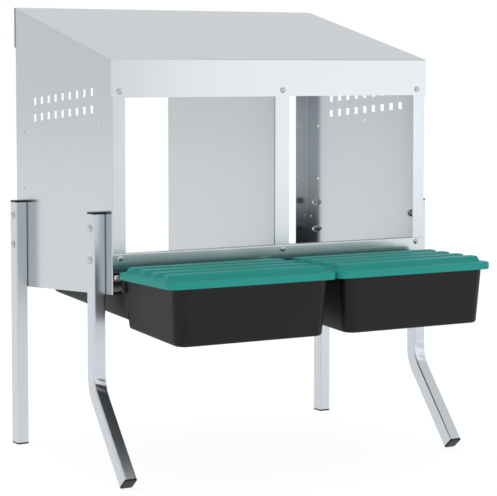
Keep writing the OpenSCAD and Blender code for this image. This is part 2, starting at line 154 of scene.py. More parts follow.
@dataclass(frozen=True)
class NestedFrames:
    """Rounded rectangles inside one another, from the outermost to the innermost.

    Each field holds one number for each frame. The innermost frame is a plain rectangle.
    """

    left: np.ndarray
    right: np.ndarray
    front: np.ndarray
    back: np.ndarray
    front_radius: np.ndarray
    back_radius: np.ndarray


def corner_path(steps: int, along_x: float, along_y: float, radius: float) -> tuple[np.ndarray, ...]:
    """Walk round one corner of a rounded rectangle.

    Each half of the walk is a straight run and an eighth of a circle, and its points stand at
    even distances along it.

    Args:
        steps: Number of steps in each half.
        along_x: Length of the corner's zone along X.
        along_y: Length of the corner's zone along Y.
        radius: Radius of the corner.

    Returns:
        Distances in from the corner's tip along X and along Y, and how far each point is past
        the corner's middle, from 0 to 1.
    """
    u = np.linspace(-1.0, 1.0, 2 * steps + 1)
    radius = max(radius, LEAST_RADIUS)
    straight = np.where(u < 0, along_y, along_x) - radius
    walked = (1.0 - np.abs(u)) * (straight + radius * math.pi / 4)
    angle = np.clip((walked - straight) / radius, 0.0, math.pi / 4)
    near = np.where(walked < straight, 0.0, radius - radius * np.cos(angle))
    far = np.where(walked < straight, straight + radius - walked, radius - radius * np.sin(angle))
    inward_x = np.where(u < 0, near, far)
    inward_y = np.where(u < 0, far, near)
    return inward_x, inward_y, np.clip(u, 0.0, 1.0)


def plate_grid(frames: NestedFrames, xs: np.ndarray, ys: np.ndarray) -> tuple[np.ndarray, ...]:
    """Lay a grid over nested frames: square in the middle, and round the corners outside.

    Args:
        frames: The frames, of which the innermost bounds the square grid.
        xs: X of the square grid's columns.
        ys: Y of the square grid's rows.

    Returns:
        X, Y, the number of each point's frame, and how far it has turned from a side to the
        front (-1) or to the back (+1).
    """
    last = len(frames.left) - 1
    nx, ny = len(xs) + 2 * last, len(ys) + 2 * last
    i, j = np.meshgrid(np.arange(nx), np.arange(ny), indexing="ij")
    level = np.minimum.reduce([i, j, nx - 1 - i, ny - 1 - j, np.full_like(i, last)])
    x, y, turn = np.zeros((nx, ny)), np.zeros((nx, ny)), np.zeros((nx, ny))
    x[last:nx - last, last:ny - last] = xs[:, None]
    y[last:nx - last, last:ny - last] = ys[None, :]
    for m in range(last):
        x[m, last:ny - last], x[nx - 1 - m, last:ny - last] = frames.left[m], frames.right[m]
        y[m, last:ny - last] = y[nx - 1 - m, last:ny - last] = ys
        y[last:nx - last, m], y[last:nx - last, ny - 1 - m] = frames.front[m], frames.back[m]
        x[last:nx - last, m] = x[last:nx - last, ny - 1 - m] = xs
        turn[last:nx - last, m], turn[last:nx - last, ny - 1 - m] = -1.0, 1.0
        for at_right in (False, True):
            for at_back in (False, True):
                edge_x = frames.right if at_right else frames.left
                edge_y = frames.back if at_back else frames.front
                radius = (frames.back_radius if at_back else frames.front_radius)[m]
                zone_x, zone_y = abs(edge_x[last] - edge_x[m]), abs(edge_y[last] - edge_y[m])
                dx, dy, past = corner_path(last - m, zone_x, zone_y, radius)
                fall = np.arange(last, m - 1, -1)
                column = np.concatenate([np.full(last - m + 1, m), fall[:-1][::-1]])
                row = np.concatenate([fall, np.full(last - m, m)])
                column = nx - 1 - column if at_right else column
                row = ny - 1 - row if at_back else row
                x[column, row] = edge_x[m] + (-dx if at_right else dx)
                y[column, row] = edge_y[m] + (-dy if at_back else dy)
                turn[column, row] = past if at_back else -past
    return x, y, level, turn


def inside_distance(
    x: np.ndarray, y: np.ndarray, half: tuple[float, float], radius: float
) -> np.ndarray:
    """Distance inside a rounded rectangle's edge, which is negative outside it.

    It is the corner radius, less the length of what is left of (|x|, |y|) past the inner
    rectangle, less the inner rectangle's own (negative) distance.

    Args:
        x: Places across, from the rectangle's middle.
        y: Places along, from the rectangle's middle.
        half: Half of the rectangle's two sizes.
        radius: Radius of its corners.

    Returns:
        The distance at each point.
    """
    qx, qy = np.abs(x) - half[0] + radius, np.abs(y) - half[1] + radius
    outside = np.hypot(np.maximum(qx, 0.0), np.maximum(qy, 0.0))
    return radius - outside - np.minimum(np.maximum(qx, qy), 0.0)


# ---------------------------------------------------------------- finishes


class ShaderGroups:
    """Shader node groups that several finishes share, each built once."""

    MIDDLE = 0.5  # mask value that contrast leaves as it is

    def __init__(self) -> None:
        """Build the groups."""
        self.mottle = self._mottle()
        self.grain = self._grain()
        self.drawn_lines = self._drawn_lines()

    @staticmethod
    def _new(name: str, inputs: Sequence[tuple[str, float]], output: str) -> tuple:
        """Make a group with float inputs, one float output, and Object coordinates inside.

        Args:
            name: Name of the group.
            inputs: Name and first value of each input.
            output: Name of the output.

        Returns:
            The group, its input node, its output node and its coordinates node.
        """
        group = bpy.data.node_groups.new(name, "ShaderNodeTree")
        kind = "NodeSocketFloat"
        for label, value in inputs:
            socket = group.interface.new_socket(name=label, in_out="INPUT", socket_type=kind)
            socket.default_value = value
        group.interface.new_socket(name=output, in_out="OUTPUT", socket_type=kind)
        ends = group.nodes.new("NodeGroupInput"), group.nodes.new("NodeGroupOutput")
        place = group.nodes.new("ShaderNodeTexCoord")
        return group, ends[0], ends[1], place

    def _mottle(self) -> bpy.types.ShaderNodeTree:
        """Broad soft clouds from 0 to 1, for handling marks, dust and uneven gloss."""
        inputs = [("Scale", 6.0), ("Contrast", 1.0)]
        group, given, result, place = self._new("soft_mottle", inputs, "Mask")
        noise = group.nodes.new("ShaderNodeTexNoise")
        noise.inputs["Detail"].default_value = 5.0
        noise.inputs["Roughness"].default_value = 0.55
        centre = group.nodes.new("ShaderNodeMath")
        centre.operation = "SUBTRACT"
        centre.inputs[1].default_value = self.MIDDLE
        gain = group.nodes.new("ShaderNodeMath")
        gain.operation = "MULTIPLY_ADD"
        gain.use_clamp = True
        gain.inputs[2].default_value = self.MIDDLE
        group.links.new(place.outputs["Object"], noise.inputs["Vector"])
        group.links.new(given.outputs["Scale"], noise.inputs["Scale"])
        group.links.new(noise.outputs["Fac"], centre.inputs[0])
        group.links.new(centre.outputs[0], gain.inputs[0])
        group.links.new(given.outputs["Contrast"], gain.inputs[1])
        group.links.new(gain.outputs[0], result.inputs["Mask"])
        return group

    def _grain(self) -> bpy.types.ShaderNodeTree:
        """Fine pitted grain of a moulded or plated skin, as a height."""
        inputs = [("Scale", 900.0), ("Depth", 1.0)]
        group, given, result, place = self._new("skin_grain", inputs, "Height")
        fine = group.nodes.new("ShaderNodeTexNoise")
        fine.inputs["Detail"].default_value = 2.0
        pits = group.nodes.new("ShaderNodeTexVoronoi")
        pits.feature = "SMOOTH_F1"
        both = group.nodes.new("ShaderNodeMath")
        depth = group.nodes.new("ShaderNodeMath")
        depth.operation = "MULTIPLY"
        for texture in (fine, pits):
            group.links.new(place.outputs["Object"], texture.inputs["Vector"])
            group.links.new(given.outputs["Scale"], texture.inputs["Scale"])
        group.links.new(fine.outputs["Fac"], both.inputs[0])
        group.links.new(pits.outputs["Distance"], both.inputs[1])
        group.links.new(both.outputs[0], depth.inputs[0])
        group.links.new(given.outputs["Depth"], depth.inputs[1])
        group.links.new(depth.outputs[0], result.inputs["Height"])
        return group

    def _drawn_lines(self) -> bpy.types.ShaderNodeTree:
        """Faint lines along Z that rolling and drawing leave in metal, from 0 to 1."""
        inputs = [("Scale", 240.0), ("Stretch", 0.02)]
        group, given, result, place = self._new("drawn_lines", inputs, "Mask")
        stretch = group.nodes.new("ShaderNodeCombineXYZ")
        stretch.inputs["X"].default_value = stretch.inputs["Y"].default_value = 1.0
        squeeze = group.nodes.new("ShaderNodeVectorMath")
        squeeze.operation = "MULTIPLY"
        noise = group.nodes.new("ShaderNodeTexNoise")
        noise.inputs["Detail"].default_value = 3.0
        group.links.new(given.outputs["Stretch"], stretch.inputs["Z"])
        group.links.new(place.outputs["Object"], squeeze.inputs[0])
        group.links.new(stretch.outputs[0], squeeze.inputs[1])
        group.links.new(squeeze.outputs[0], noise.inputs["Vector"])
        group.links.new(given.outputs["Scale"], noise.inputs["Scale"])
        group.links.new(noise.outputs["Fac"], result.inputs["Mask"])
        return group


class SurfaceGraph:
    """A material with one Principled shader, and short calls to wire masks into it."""

    def __init__(self, name: str) -> None:
        """Start an empty material.

        Args:
            name: Name of the material.
        """
        self.material = bpy.data.materials.new(name)
        self.material.use_nodes = True
        self.tree = self.material.node_tree
        self.shader = self.tree.nodes["Principled BSDF"]

    def use(self, group: bpy.types.ShaderNodeTree, **values: float) -> bpy.types.Node:
        """Place a shared group and set its inputs.

        Args:
            group: The shared group.
            values: Value of each input that is named.

        Returns:
            The placed node.
        """
        node = self.tree.nodes.new("ShaderNodeGroup")
        node.node_tree = group
        for label, value in values.items():
            node.inputs[label].default_value = value
        return node

    def spread(self, mask: bpy.types.NodeSocket, low: float, high: float) -> bpy.types.NodeSocket:
        """Map a mask from 0..1 to low..high.

        Args:
            mask: The mask.
            low: Value where the mask is 0.
            high: Value where the mask is 1.

        Returns:
            The mapped value.
        """
        node = self.tree.nodes.new("ShaderNodeMapRange")
        node.inputs["To Min"].default_value = low
        node.inputs["To Max"].default_value = high
        self.tree.links.new(mask, node.inputs["Value"])
        return node.outputs["Result"]

    def mix(
        self, mask: bpy.types.NodeSocket, first: Sequence[float], second: Sequence[float]
    ) -> bpy.types.NodeSocket:
        """Blend two colours by a mask.

        Args:
            mask: The mask.
            first: Colour where the mask is 0.
            second: Colour where the mask is 1.

        Returns:
            The blended colour.
        """
        node = self.tree.nodes.new("ShaderNodeMix")
        node.data_type = "RGBA"
        node.inputs["A"].default_value = (*first, 1.0)
        node.inputs["B"].default_value = (*second, 1.0)
        self.tree.links.new(mask, node.inputs["Factor"])
        return node.outputs["Result"]

    def bump(self, height: bpy.types.NodeSocket, strength: float, distance: float) -> None:
        """Add relief to whatever relief the shader has so far.

        Args:
            height: The relief's height.
            strength: How much of it shows.
            distance: Height in metres that 1 stands for.
        """
        node = self.tree.nodes.new("ShaderNodeBump")
        node.inputs["Strength"].default_value = strength
        node.inputs["Distance"].default_value = distance
        links = self.shader.inputs["Normal"].links
        if links:
            self.tree.links.new(links[0].from_socket, node.inputs["Normal"])
        self.tree.links.new(height, node.inputs["Height"])
        self.tree.links.new(node.outputs["Normal"], self.shader.inputs["Normal"])

    def wire(self, source: bpy.types.NodeSocket, label: str) -> None:
        """Link a socket to one of the shader's inputs."""
        self.tree.links.new(source, self.shader.inputs[label])


@dataclass(frozen=True)
class MetalFinish:
    """Plated or galvanised steel: clouded colour, drawn lines and slightly uneven gloss."""

    name: str
    colour: tuple[float, float, float]
    cloud: tuple[float, float, float]
    gloss: tuple[float, float]
    waviness: float
    cloud_scale: float = 5.0
    cloud_contrast: float = 1.6
    wave_height: float = 0.004
    grain_scale: float = 700.0
    grain_depth: float = 0.5
    grain_relief: float = 0.05
    grain_height: float = 0.0001

    def build(self, groups: ShaderGroups) -> bpy.types.Material:
        """Build the material.

        Args:
            groups: The shared shader groups.

        Returns:
            The material.
        """
        graph = SurfaceGraph(self.name)
        graph.shader.inputs["Metallic"].default_value = 1.0
        clouds = graph.use(groups.mottle, Scale=self.cloud_scale, Contrast=self.cloud_contrast)
        lines = graph.use(groups.drawn_lines)
        grain = graph.use(groups.grain, Scale=self.grain_scale, Depth=self.grain_depth)
        graph.wire(graph.mix(clouds.outputs["Mask"], self.colour, self.cloud), "Base Color")
        graph.wire(graph.spread(lines.outputs["Mask"], *self.gloss), "Roughness")
        graph.bump(clouds.outputs["Mask"], self.waviness, self.wave_height)
        graph.bump(grain.outputs["Height"], self.grain_relief, self.grain_height)
        return graph.material


@dataclass(frozen=True)
class PlasticFinish:
    """Moulded plastic: fine pitted skin, faint dust and scuffs, and a soft gloss."""

    name: str
    colour: tuple[float, float, float]
    scuffed: tuple[float, float, float]
    gloss: tuple[float, float]
    grain_scale: float
    relief: float
    shine: float
    dust_scale: float = 14.0
    dust_contrast: float = 1.8
    grain_depth: float = 1.0
    grain_height: float = 0.00025

    def build(self, groups: ShaderGroups) -> bpy.types.Material:
        """Build the material.

        Args:
            groups: The shared shader groups.

        Returns:
            The material.
        """
        graph = SurfaceGraph(self.name)
        graph.shader.inputs["Specular IOR Level"].default_value = self.shine
        dust = graph.use(groups.mottle, Scale=self.dust_scale, Contrast=self.dust_contrast)
        grain = graph.use(groups.grain, Scale=self.grain_scale, Depth=self.grain_depth)
        graph.wire(graph.mix(dust.outputs["Mask"], self.colour, self.scuffed), "Base Color")
        graph.wire(graph.spread(dust.outputs["Mask"], *self.gloss), "Roughness")
        graph.bump(grain.outputs["Height"], self.relief, self.grain_height)
        return graph.material


FINISHES = {
    "zinc_sheet": MetalFinish(
        name="galvanised_sheet",
        colour=(0.558, 0.592, 0.618),
        cloud=(0.572, 0.605, 0.628),
        gloss=(0.18, 0.22),
        waviness=0.008,
    ),
    "leg_tube": MetalFinish(
        name="bright_zinc_tube",
        colour=(0.575, 0.610, 0.648),
        cloud=(0.605, 0.638, 0.672),
        gloss=(0.26, 0.34),
        waviness=0.012,
        cloud_scale=9.0,
    ),
    "fastener_steel": MetalFinish(
        name="bright_fasteners",
        colour=(0.46, 0.48, 0.51),
        cloud=(0.56, 0.58, 0.60),
        gloss=(0.10, 0.16),
        waviness=0.0,
        cloud_scale=60.0,
    ),
    "rod_steel": MetalFinish(
        name="drawn_rod",
        colour=(0.72, 0.75, 0.75),
        cloud=(0.66, 0.69, 0.70),
        gloss=(0.40, 0.50),
        waviness=0.0,
        cloud_scale=40.0,
    ),
    "cap_plastic": PlasticFinish(
        name="black_cap_plastic",
        colour=(0.004, 0.004, 0.0045),
        scuffed=(0.007, 0.007, 0.0075),
        gloss=(0.38, 0.48),
        grain_scale=1200.0,
        relief=0.10,
        shine=0.25,
    ),
    "tray_plastic": PlasticFinish(
        name="black_tray_plastic",
        colour=(0.0040, 0.0042, 0.0050),
        scuffed=(0.0056, 0.0058, 0.0064),
        gloss=(0.40, 0.46),
        grain_scale=1100.0,
        relief=0.12,
        shine=0.24,
    ),
    "lid_plastic": PlasticFinish(
        name="green_lid_plastic",
        colour=(0.016, 0.278, 0.240),
        scuffed=(0.020, 0.290, 0.252),
        gloss=(0.40, 0.47),
        grain_scale=1100.0,
        relief=0.08,
        shine=0.14,
    ),
}


class Finishes:
    """All materials of the object, by the record's slot."""

    def __init__(self) -> None:
        """Build every material once."""
        groups = ShaderGroups()
        self.by_slot = {slot: finish.build(groups) for slot, finish in FINISHES.items()}

    def dress(self, piece: bpy.types.Object, slot: str) -> None:
        """Put the material of one of the record's slots on a whole piece.

        Args:
            piece: The piece, or a CAD node.
            slot: The record's slot.
        """
        if piece.data.materials:
            for index in range(len(piece.data.materials)):
                piece.data.materials[index] = self.by_slot[slot]
        else:
            piece.data.materials.append(self.by_slot[slot])


# ---------------------------------------------------------------- frame


@dataclass(frozen=True)
class Layout:
    """Where the box's front face stands, and how its pieces are placed round it."""

    front: float

    def place(self, x: np.ndarray, depth: np.ndarray, height: np.ndarray) -> np.ndarray:
        """Turn millimetres across, behind the front face and above the floor into points."""
        x, depth, height = np.broadcast_arrays(x, depth, height)
        return np.stack([x * MM, self.front + depth * MM, height * MM], -1)


class Workshop:
    """Makes pieces out of shells, dresses them and hangs them on the CAD bodies."""

    def __init__(self, finishes: Finishes, layout: Layout) -> None:
        """Keep the finishes and the layout that every sub-assembly uses."""
        self.finishes = finishes
        self.layout = layout

    def piece(
        self,
        name: str,
        shells: Sequence[Shell],
        slot: str,
        body: str,
        replaces: Sequence[str] = (),
        wall: float = 0.0,
        sharp: float = 35.0,
    ) -> bpy.types.Object:
        """Make one piece.

        Args:
            name: Name of the piece.
            shells: The shells that it is made of.
            slot: Material slot in the record.
            body: CAD body that it rides on.
            replaces: CAD nodes that it stands for.
            wall: Thickness in millimetres that an open sheet gets behind its faces, or 0.
            sharp: Edges sharper than this many degrees are not smoothed.

        Returns:
            The finished object.
        """
        points, faces, offset = [], [], 0
        for shell_points, quads, ends in shells:
            points.append(shell_points)
            faces += (quads + offset).tolist() + [(end + offset).tolist() for end in ends]
            offset += len(shell_points)
        mesh = bpy.data.meshes.new(name)
        mesh.from_pydata(np.concatenate(points).tolist(), [], faces)
        piece = bpy.data.objects.new(name, mesh)
        bpy.context.scene.collection.objects.link(piece)
        if not wall:
            self._face_outwards(mesh)
        mesh.shade_smooth()
        mesh.set_sharp_from_angle(angle=math.radians(sharp))
        if wall:
            solidify = piece.modifiers.new("wall", "SOLIDIFY")
            solidify.thickness = wall * MM
            solidify.offset = -1.0
        self.finishes.dress(piece, slot)
        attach(piece, body)
        if replaces:
            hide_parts(*replaces)
        LOG.info("built %s on %s: %d faces", name, body, len(mesh.polygons))
        return piece

    @staticmethod
    def _face_outwards(mesh: bpy.types.Mesh) -> None:
        """Turn every face of the closed shells outwards."""
        work = bmesh.new()
        work.from_mesh(mesh)
        bmesh.ops.recalc_face_normals(work, faces=work.faces)
        work.to_mesh(mesh)
        work.free()


# ---------------------------------------------------------------- sheet body


class SheetBody:
    """Roof, walls, partition, rails and their fasteners: CAD shapes with better finishes."""

    def __init__(self, shop: Workshop, nodes: dict, record: dict) -> None:
        """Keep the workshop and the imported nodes."""
        self.shop = shop
        self.nodes = nodes
        self.slots = {part["node"]: part["material_slot"] for part in record["subparts"]}

    def build(self, replaced: set[str]) -> None:
        """Dress every CAD node that stays in sight.

        Args:
            replaced: Names of the nodes that new pieces stand for.
        """
        for name, node in self.nodes.items():
            if name not in replaced:
                self.shop.finishes.dress(node, self.slots[name])
                LOG.info("dressed %s in %s", name, self.slots[name])


# ---------------------------------------------------------------- legs


@dataclass(frozen=True)
class EndCap:
    """Black plug with a rounded flange that closes the end of a leg tube."""

    width: float = 21.0
    depth: float = 25.0
    corner: float = 2.6
    corner_loss: float = 0.5
    least_corner: float = 0.6
    insert: float = 9.0
    insert_inset: float = 1.7
    flange: float = 3.0
    foot_of_flange: float = 0.2
    edge: float = 0.9
    edge_room: float = 1.1
    crown_insets: tuple[float, float] = (3.2, 6.5)
    steps: int = 4

    def rings(self) -> np.ndarray:
        """Rings from the insert's end to the flange's crown.

        Heights are along the leg, 0 where the tube ends and positive out of it. The insert and
        the flange's side are straight, the flange's outer edge is a quarter circle, and the
        crown slopes up a little to a flat middle.

        Returns:
            Points as (ring, point, axis), with the height last.
        """
        turn = np.linspace(0.0, QUARTER_TURN, self.steps)
        insets = np.concatenate([
            [self.insert_inset, self.insert_inset],
            np.zeros(self.steps),
            self.edge * (1.0 - np.cos(turn)),
            self.crown_insets,
        ])
        heights = np.concatenate([
            [-self.insert, 0.0],
            np.linspace(0.0, self.foot_of_flange, self.steps),
            self.flange - self.edge * self.edge_room + self.edge * np.sin(turn),
            [self.flange, self.flange],
        ])
        rings = []
        for inset, height in zip(insets, heights):
            corner = max(self.corner - self.corner_loss * inset, self.least_corner)
            ring = rounded_ring(self.width - 2 * inset, self.depth - 2 * inset, corner)
            rings.append(np.column_stack([ring, np.full(len(ring), height)]))
        return np.stack(rings)


@dataclass(frozen=True)
class LegPath:
    """Middle line of a leg tube, seen from the side, from its top to its foot.

    The line runs straight down at leg_depth, turns forward by kick degrees on an arc, and runs
    straight on to the foot. A kick of 0 is a straight leg.
    """

    leg_depth: float
    top: float
    length: float
    kick: float = 0.0
    bend_height: float = 0.0
    bend_radius: float = 58.5

    def at(self, s: np.ndarray) -> tuple[np.ndarray, ...]:
        """Follow the line: straight down, round the arc, then straight on at its final lean.

        Args:
            s: Distances along the line from its top.

        Returns:
            Depth, height and lean (radians) at each distance.
        """
        lean_end = math.radians(self.kick)
        straight = self.top - self.bend_height if self.kick else self.length
        arc = self.bend_radius * lean_end
        lean = np.clip((s - straight) / self.bend_radius, 0.0, lean_end)
        upper = np.minimum(s, straight)
        lower = np.maximum(s - straight - arc, 0.0)
        depth = self.leg_depth - self.bend_radius * (1.0 - np.cos(lean)) - lower * np.sin(lean)
        height = self.top - upper - self.bend_radius * np.sin(lean) - lower * np.cos(lean)
        return depth, height, lean


@dataclass(frozen=True)
class Leg:
    """A rounded rectangular tube carried along its path, with its two black caps."""

    path: LegPath
    width: float = 21.0
    depth: float = 25.0
    corner: float = 2.5
    station: float = 2.0
    crush_depths: tuple[float, ...] = (0.5, 2.0, 1.7, 0.8)
    crush_places: tuple[float, ...] = (-13.0, 3.0, 16.0, 31.0)
    crush_lean: tuple[float, ...] = (-5.0, 8.0, 11.0, 15.0)
    crush_length: float = 5.6
    crush_start: float = 0.2
    crush_rise: float = 0.3
    crush_round: float = 0.7
    crush_swell: float = 0.04
    corner_steps: int = 4
    side_parts: int = 6
    long_side: float = 4.0
    sharp: float = 50.0

    def _crush(self, across: np.ndarray, out: np.ndarray, s: np.ndarray) -> tuple[np.ndarray, ...]:
        """Dents that the bender's tool leaves on the inner face of the bend.

        Each dent is a bell curve along the tube times a cosine across it, and its middle
        shifts along the tube from one side to the other. It pushes the inner face in, and the
        tube swells a little beside it.

        Args:
            across: Places across the tube.
            out: Places from the inner face (negative) to the outer one.
            s: Distances along the tube.

        Returns:
            The dented places across and out.
        """
        if not self.path.kick:
            return across, out
        start = self.path.top - self.path.bend_height
        share = across / self.width
        bell = sum(
            a * np.exp(-(((s - start - p - lean * share) / self.crush_length) ** 2))
            for a, p, lean in zip(self.crush_depths, self.crush_places, self.crush_lean)
        )
        inner = smooth_step((-out - self.crush_start * self.depth) / (self.crush_rise * self.depth))
        middle = np.cos(np.clip(share, -0.5, 0.5) * math.pi) ** self.crush_round
        swell = 1.0 + self.crush_swell * bell * smooth_step(-out / (0.5 * self.depth))
        return across * swell, out + bell * inner * middle

    def tube(self, x: float, layout: Layout) -> Shell:
        """Carry the tube's profile along the path.

        Args:
            x: Place of the leg across the box.
            layout: The layout that places the points.

        Returns:
            The tube as a closed shell.
        """
        count = max(int(self.path.length / self.station), 2)
        s = np.linspace(0.0, self.path.length, count)[:, None]
        profile = rounded_ring(self.width, self.depth, self.corner, self.corner_steps)
        profile = self._denser(profile)
        across, out, _ = np.broadcast_arrays(profile[:, 0], profile[:, 1], s)
        across, out = self._crush(across, out, s)
        depth, height, lean = self.path.at(s)
        out_depth = depth + out * np.cos(lean)
        out_height = height - out * np.sin(lean)
        return ring_stack(layout.place(x + across, out_depth, out_height))

    def _denser(self, profile: np.ndarray) -> np.ndarray:
        """Split the profile's long straight sides into equal parts.

        Args:
            profile: Points of the closed profile.

        Returns:
            The profile with the added points.
        """
        following = np.roll(profile, -1, axis=0)
        gaps = np.linalg.norm(following - profile, axis=1)
        pieces = [
            np.linspace(a, b, self.side_parts if gap > self.long_side else 1, endpoint=False)
            for a, b, gap in zip(profile, following, gaps)
        ]
        return np.concatenate(pieces)

    def cap(self, x: float, at_foot: bool, layout: Layout) -> Shell:
        """Place a cap on the tube's top or foot.

        Args:
            x: Place of the leg across the box.
            at_foot: Whether the cap is the foot.
            layout: The layout that places the points.

        Returns:
            The cap as a closed shell.
        """
        rings = EndCap(self.width, self.depth).rings()
        end = np.array([self.path.length if at_foot else 0.0])
        depth, height, lean = (float(v[0]) for v in self.path.at(end))
        along = rings[..., 2] * (-1.0 if at_foot else 1.0)
        out_depth = depth + rings[..., 1] * math.cos(lean) + along * math.sin(lean)
        out_height = height - rings[..., 1] * math.sin(lean) + along * math.cos(lean)
        return ring_stack(layout.place(x + rings[..., 0], out_depth, out_height))

    def build(self, shop: Workshop, name: str) -> set[str]:
        """Make the leg, its top cap and its foot.

        Args:
            shop: The workshop.
            name: Name of the leg's side and place, such as left_front.

        Returns:
            The CAD nodes that the pieces stand for.
        """
        low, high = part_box(f"{name}_leg")
        x = (low.x + high.x) / 2 / MM
        leg, crown, foot = f"{name}_leg", f"{name}_top_cap", f"{name}_foot"
        tube = [self.tube(x, shop.layout)]
        shop.piece(f"{name}_bent_tube", tube, "leg_tube", ROOT_BODY, (leg,), sharp=self.sharp)
        for label, node, at_foot in (("crown_cap", crown, False), ("foot_cap", foot, True)):
            cap = [self.cap(x, at_foot, shop.layout)]
            shop.piece(f"{name}_{label}", cap, "cap_plastic", ROOT_BODY, (node,))
        return {leg, crown, foot}


@dataclass(frozen=True)
class LegSet:
    """The four legs: straight ones at the rear, and in front ones bent forward below the box.

    A front leg's rear face, drawn on straight from above and from below its bend, meets itself
    at a corner that lies foot_reach behind the place where the face reaches the floor.
    """

    foot_cap: float = 3.0
    kick: float = 40.0
    foot_reach: float = 114.0
    rear_face_radius: float = 71.0
    half_depth: float = 12.5
    front_depth: float = 37.5
    rear_depth: float = 341.5

    def front_path(self, top: float) -> LegPath:
        """Work out the bent legs' middle line.

        The corner's height is foot_reach over the kick's tangent, and the bend starts above it
        by the arc's tangent length, which is the radius times the tangent of half the kick.

        Args:
            top: Height of the legs' tops.

        Returns:
            The path of the front legs.
        """
        lean = math.radians(self.kick)
        drop = self.foot_reach / math.tan(lean)
        tangent = self.rear_face_radius * math.tan(lean / 2)
        bend = drop + tangent
        radius = self.rear_face_radius - self.half_depth
        lower = drop / math.cos(lean) - tangent - self.foot_cap
        length = top - bend + radius * lean + lower
        return LegPath(self.front_depth, top, length, self.kick, bend, radius)

    def build(self, shop: Workshop) -> set[str]:
        """Make the four legs.

        Args:
            shop: The workshop.

        Returns:
            The CAD nodes that the pieces stand for.
        """
        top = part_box("left_front_leg")[1].z / MM
        front = Leg(self.front_path(top))
        rear = Leg(LegPath(self.rear_depth, top, top - self.foot_cap))
        replaced: set[str] = set()
        for side in Side:
            replaced |= front.build(shop, f"{side.value}_front")
            replaced |= rear.build(shop, f"{side.value}_rear")
        return replaced


# ---------------------------------------------------------------- trays


@dataclass(frozen=True)
class Run:
    """A stretch of the tray's length with evenly spaced profiles."""

    first: float
    last: float
    count: int

    def depths(self) -> np.ndarray:
        """Depth of each profile behind the front face."""
        return np.linspace(self.first, self.last, self.count)


